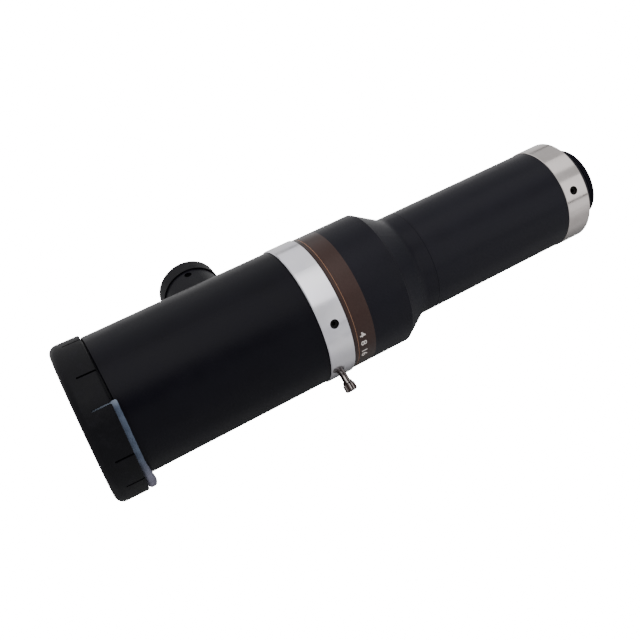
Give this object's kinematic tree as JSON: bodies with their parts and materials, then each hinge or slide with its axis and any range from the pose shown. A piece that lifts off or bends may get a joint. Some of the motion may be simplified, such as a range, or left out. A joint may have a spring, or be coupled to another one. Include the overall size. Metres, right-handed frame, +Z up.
{
  "type": "machine vision lens",
  "caption": "Telecentric machine vision lens with an adjustable iris, a capped side port for coaxial light, a slit front cap and a rotatable threaded camera mount.",
  "frame": {"origin": "on the optical axis, in the plane of the camera flange", "axes": "+X is the optical axis towards the camera, +Z is up as the lens lies on its side, -Y faces the viewer"},
  "size_m": [0.1909, 0.072, 0.0519],
  "materials": {
    "black_anodised_barrel": "satin black anodised",
    "matt_black_inner": "matt black anodised",
    "coated_lens_glass": "anti-reflection coated",
    "splitter_glass": "half-silvered on one face",
    "blackened_leaf_steel": "blackened",
    "cap_plastic": "moulded, fine matt",
    "packing_foam": "blue-grey closed-cell foam",
    "brown_anodised_ring": "brown anodised with one bright turned line",
    "bright_ring": "fine turned, clear anodised",
    "set_screw_steel": "black oxide",
    "nickel_steel": "nickel plated, knurled"
  },
  "bodies": {
    "barrel": {"front_barrel": "black_anodised_barrel", "front_retainer_ring": "matt_black_inner", "front_crown_lens": "coated_lens_glass", "front_flint_lens": "coated_lens_glass", "front_spacer_tube": "matt_black_inner", "splitter_frame": "matt_black_inner", "beam_splitter_plate": "splitter_glass", "light_port_tube": "black_anodised_barrel", "port_set_screw": "set_screw_steel", "port_condenser_lens": "coated_lens_glass", "port_retainer_ring": "matt_black_inner", "stepped_housing": "black_anodised_barrel", "name_ring": "brown_anodised_ring", "iris_keeper_ring": "matt_black_inner", "iris_base_plate": "matt_black_inner", "stray_light_baffle": "matt_black_inner", "rear_tube": "black_anodised_barrel", "rear_lens_cell": "matt_black_inner", "rear_positive_lens": "coated_lens_glass", "rear_spacer_ring": "matt_black_inner", "rear_negative_lens": "coated_lens_glass", "rear_retainer_ring": "matt_black_inner", "cell_lock_ring": "matt_black_inner", "rear_clamp_ring": "bright_ring", "rear_clamp_set_screws": "set_screw_steel"},
    "iris_ring": {"iris_ring": "bright_ring", "iris_ring_set_screws": "set_screw_steel", "iris_drive_ring": "matt_black_inner"},
    "lock_screw": {"lock_screw": "nickel_steel"},
    "mount_adapter": {"mount_adapter": "black_anodised_barrel"},
    "front_cap": {"front_cap": "cap_plastic", "cap_packing_strip": "packing_foam"},
    "port_cap": {"port_cap": "cap_plastic"},
    "iris_blade_1": {"iris_blade_1": "blackened_leaf_steel"},
    "iris_blade_2": {"iris_blade_2": "blackened_leaf_steel"},
    "iris_blade_3": {"iris_blade_3": "blackened_leaf_steel"},
    "iris_blade_4": {"iris_blade_4": "blackened_leaf_steel"},
    "iris_blade_5": {"iris_blade_5": "blackened_leaf_steel"},
    "iris_blade_6": {"iris_blade_6": "blackened_leaf_steel"},
    "iris_blade_7": {"iris_blade_7": "blackened_leaf_steel"},
    "iris_blade_8": {"iris_blade_8": "blackened_leaf_steel"}
  },
  "joints": [
    {"name": "iris_ring_turn", "type": "hinge", "parent": "barrel", "child": "iris_ring", "pos_m": [-0.10714, 0, 0], "axis": [-1, 0, 0], "range_deg": [0, 36]},
    {"name": "lock_screw_turn", "type": "hinge", "parent": "iris_ring", "child": "lock_screw", "pos_m": [-0.10684, 0, 0], "axis": [0, -0.9537, -0.3007], "range_deg": [0, 360]},
    {"name": "mount_turn", "type": "hinge", "parent": "barrel", "child": "mount_adapter", "pos_m": [0, 0, 0], "axis": [1, 0, 0], "continuous": true},
    {"name": "front_cap_pull", "type": "slide", "parent": "barrel", "child": "front_cap", "axis": [-1, 0, 0], "range_m": [0, 0.06]},
    {"name": "port_cap_pull", "type": "slide", "parent": "barrel", "child": "port_cap", "axis": [0, 0.9367, -0.3502], "range_m": [0, 0.06]},
    {"name": "iris_blade_1_turn", "type": "hinge", "parent": "barrel", "child": "iris_blade_1", "pos_m": [-0.10227, 0, 0.0154], "axis": [-0.9929, -0.0725, 0.0945], "range_deg": [0, 22]},
    {"name": "iris_blade_2_turn", "type": "hinge", "parent": "barrel", "child": "iris_blade_2", "pos_m": [-0.10227, -0.01089, 0.01089], "axis": [-0.9929, -0.1181, 0.0156], "range_deg": [0, 22]},
    {"name": "iris_blade_3_turn", "type": "hinge", "parent": "barrel", "child": "iris_blade_3", "pos_m": [-0.10227, -0.0154, 0], "axis": [-0.9929, -0.0945, -0.0725], "range_deg": [0, 22]},
    {"name": "iris_blade_4_turn", "type": "hinge", "parent": "barrel", "child": "iris_blade_4", "pos_m": [-0.10227, -0.01089, -0.01089], "axis": [-0.9929, -0.0156, -0.1181], "range_deg": [0, 22]},
    {"name": "iris_blade_5_turn", "type": "hinge", "parent": "barrel", "child": "iris_blade_5", "pos_m": [-0.10227, 0, -0.0154], "axis": [-0.9929, 0.0725, -0.0945], "range_deg": [0, 22]},
    {"name": "iris_blade_6_turn", "type": "hinge", "parent": "barrel", "child": "iris_blade_6", "pos_m": [-0.10227, 0.01089, -0.01089], "axis": [-0.9929, 0.1181, -0.0156], "range_deg": [0, 22]},
    {"name": "iris_blade_7_turn", "type": "hinge", "parent": "barrel", "child": "iris_blade_7", "pos_m": [-0.10227, 0.0154, 0], "axis": [-0.9929, 0.0945, 0.0725], "range_deg": [0, 22]},
    {"name": "iris_blade_8_turn", "type": "hinge", "parent": "barrel", "child": "iris_blade_8", "pos_m": [-0.10227, 0.01089, 0.01089], "axis": [-0.9929, 0.0156, 0.1181], "range_deg": [0, 22]}
  ],
  "couplings": [
    {"joint": "iris_blade_1_turn", "follows": "iris_ring_turn", "ratio": 0.61111},
    {"joint": "iris_blade_2_turn", "follows": "iris_ring_turn", "ratio": 0.61111},
    {"joint": "iris_blade_3_turn", "follows": "iris_ring_turn", "ratio": 0.61111},
    {"joint": "iris_blade_4_turn", "follows": "iris_ring_turn", "ratio": 0.61111},
    {"joint": "iris_blade_5_turn", "follows": "iris_ring_turn", "ratio": 0.61111},
    {"joint": "iris_blade_6_turn", "follows": "iris_ring_turn", "ratio": 0.61111},
    {"joint": "iris_blade_7_turn", "follows": "iris_ring_turn", "ratio": 0.61111},
    {"joint": "iris_blade_8_turn", "follows": "iris_ring_turn", "ratio": 0.61111}
  ]
}
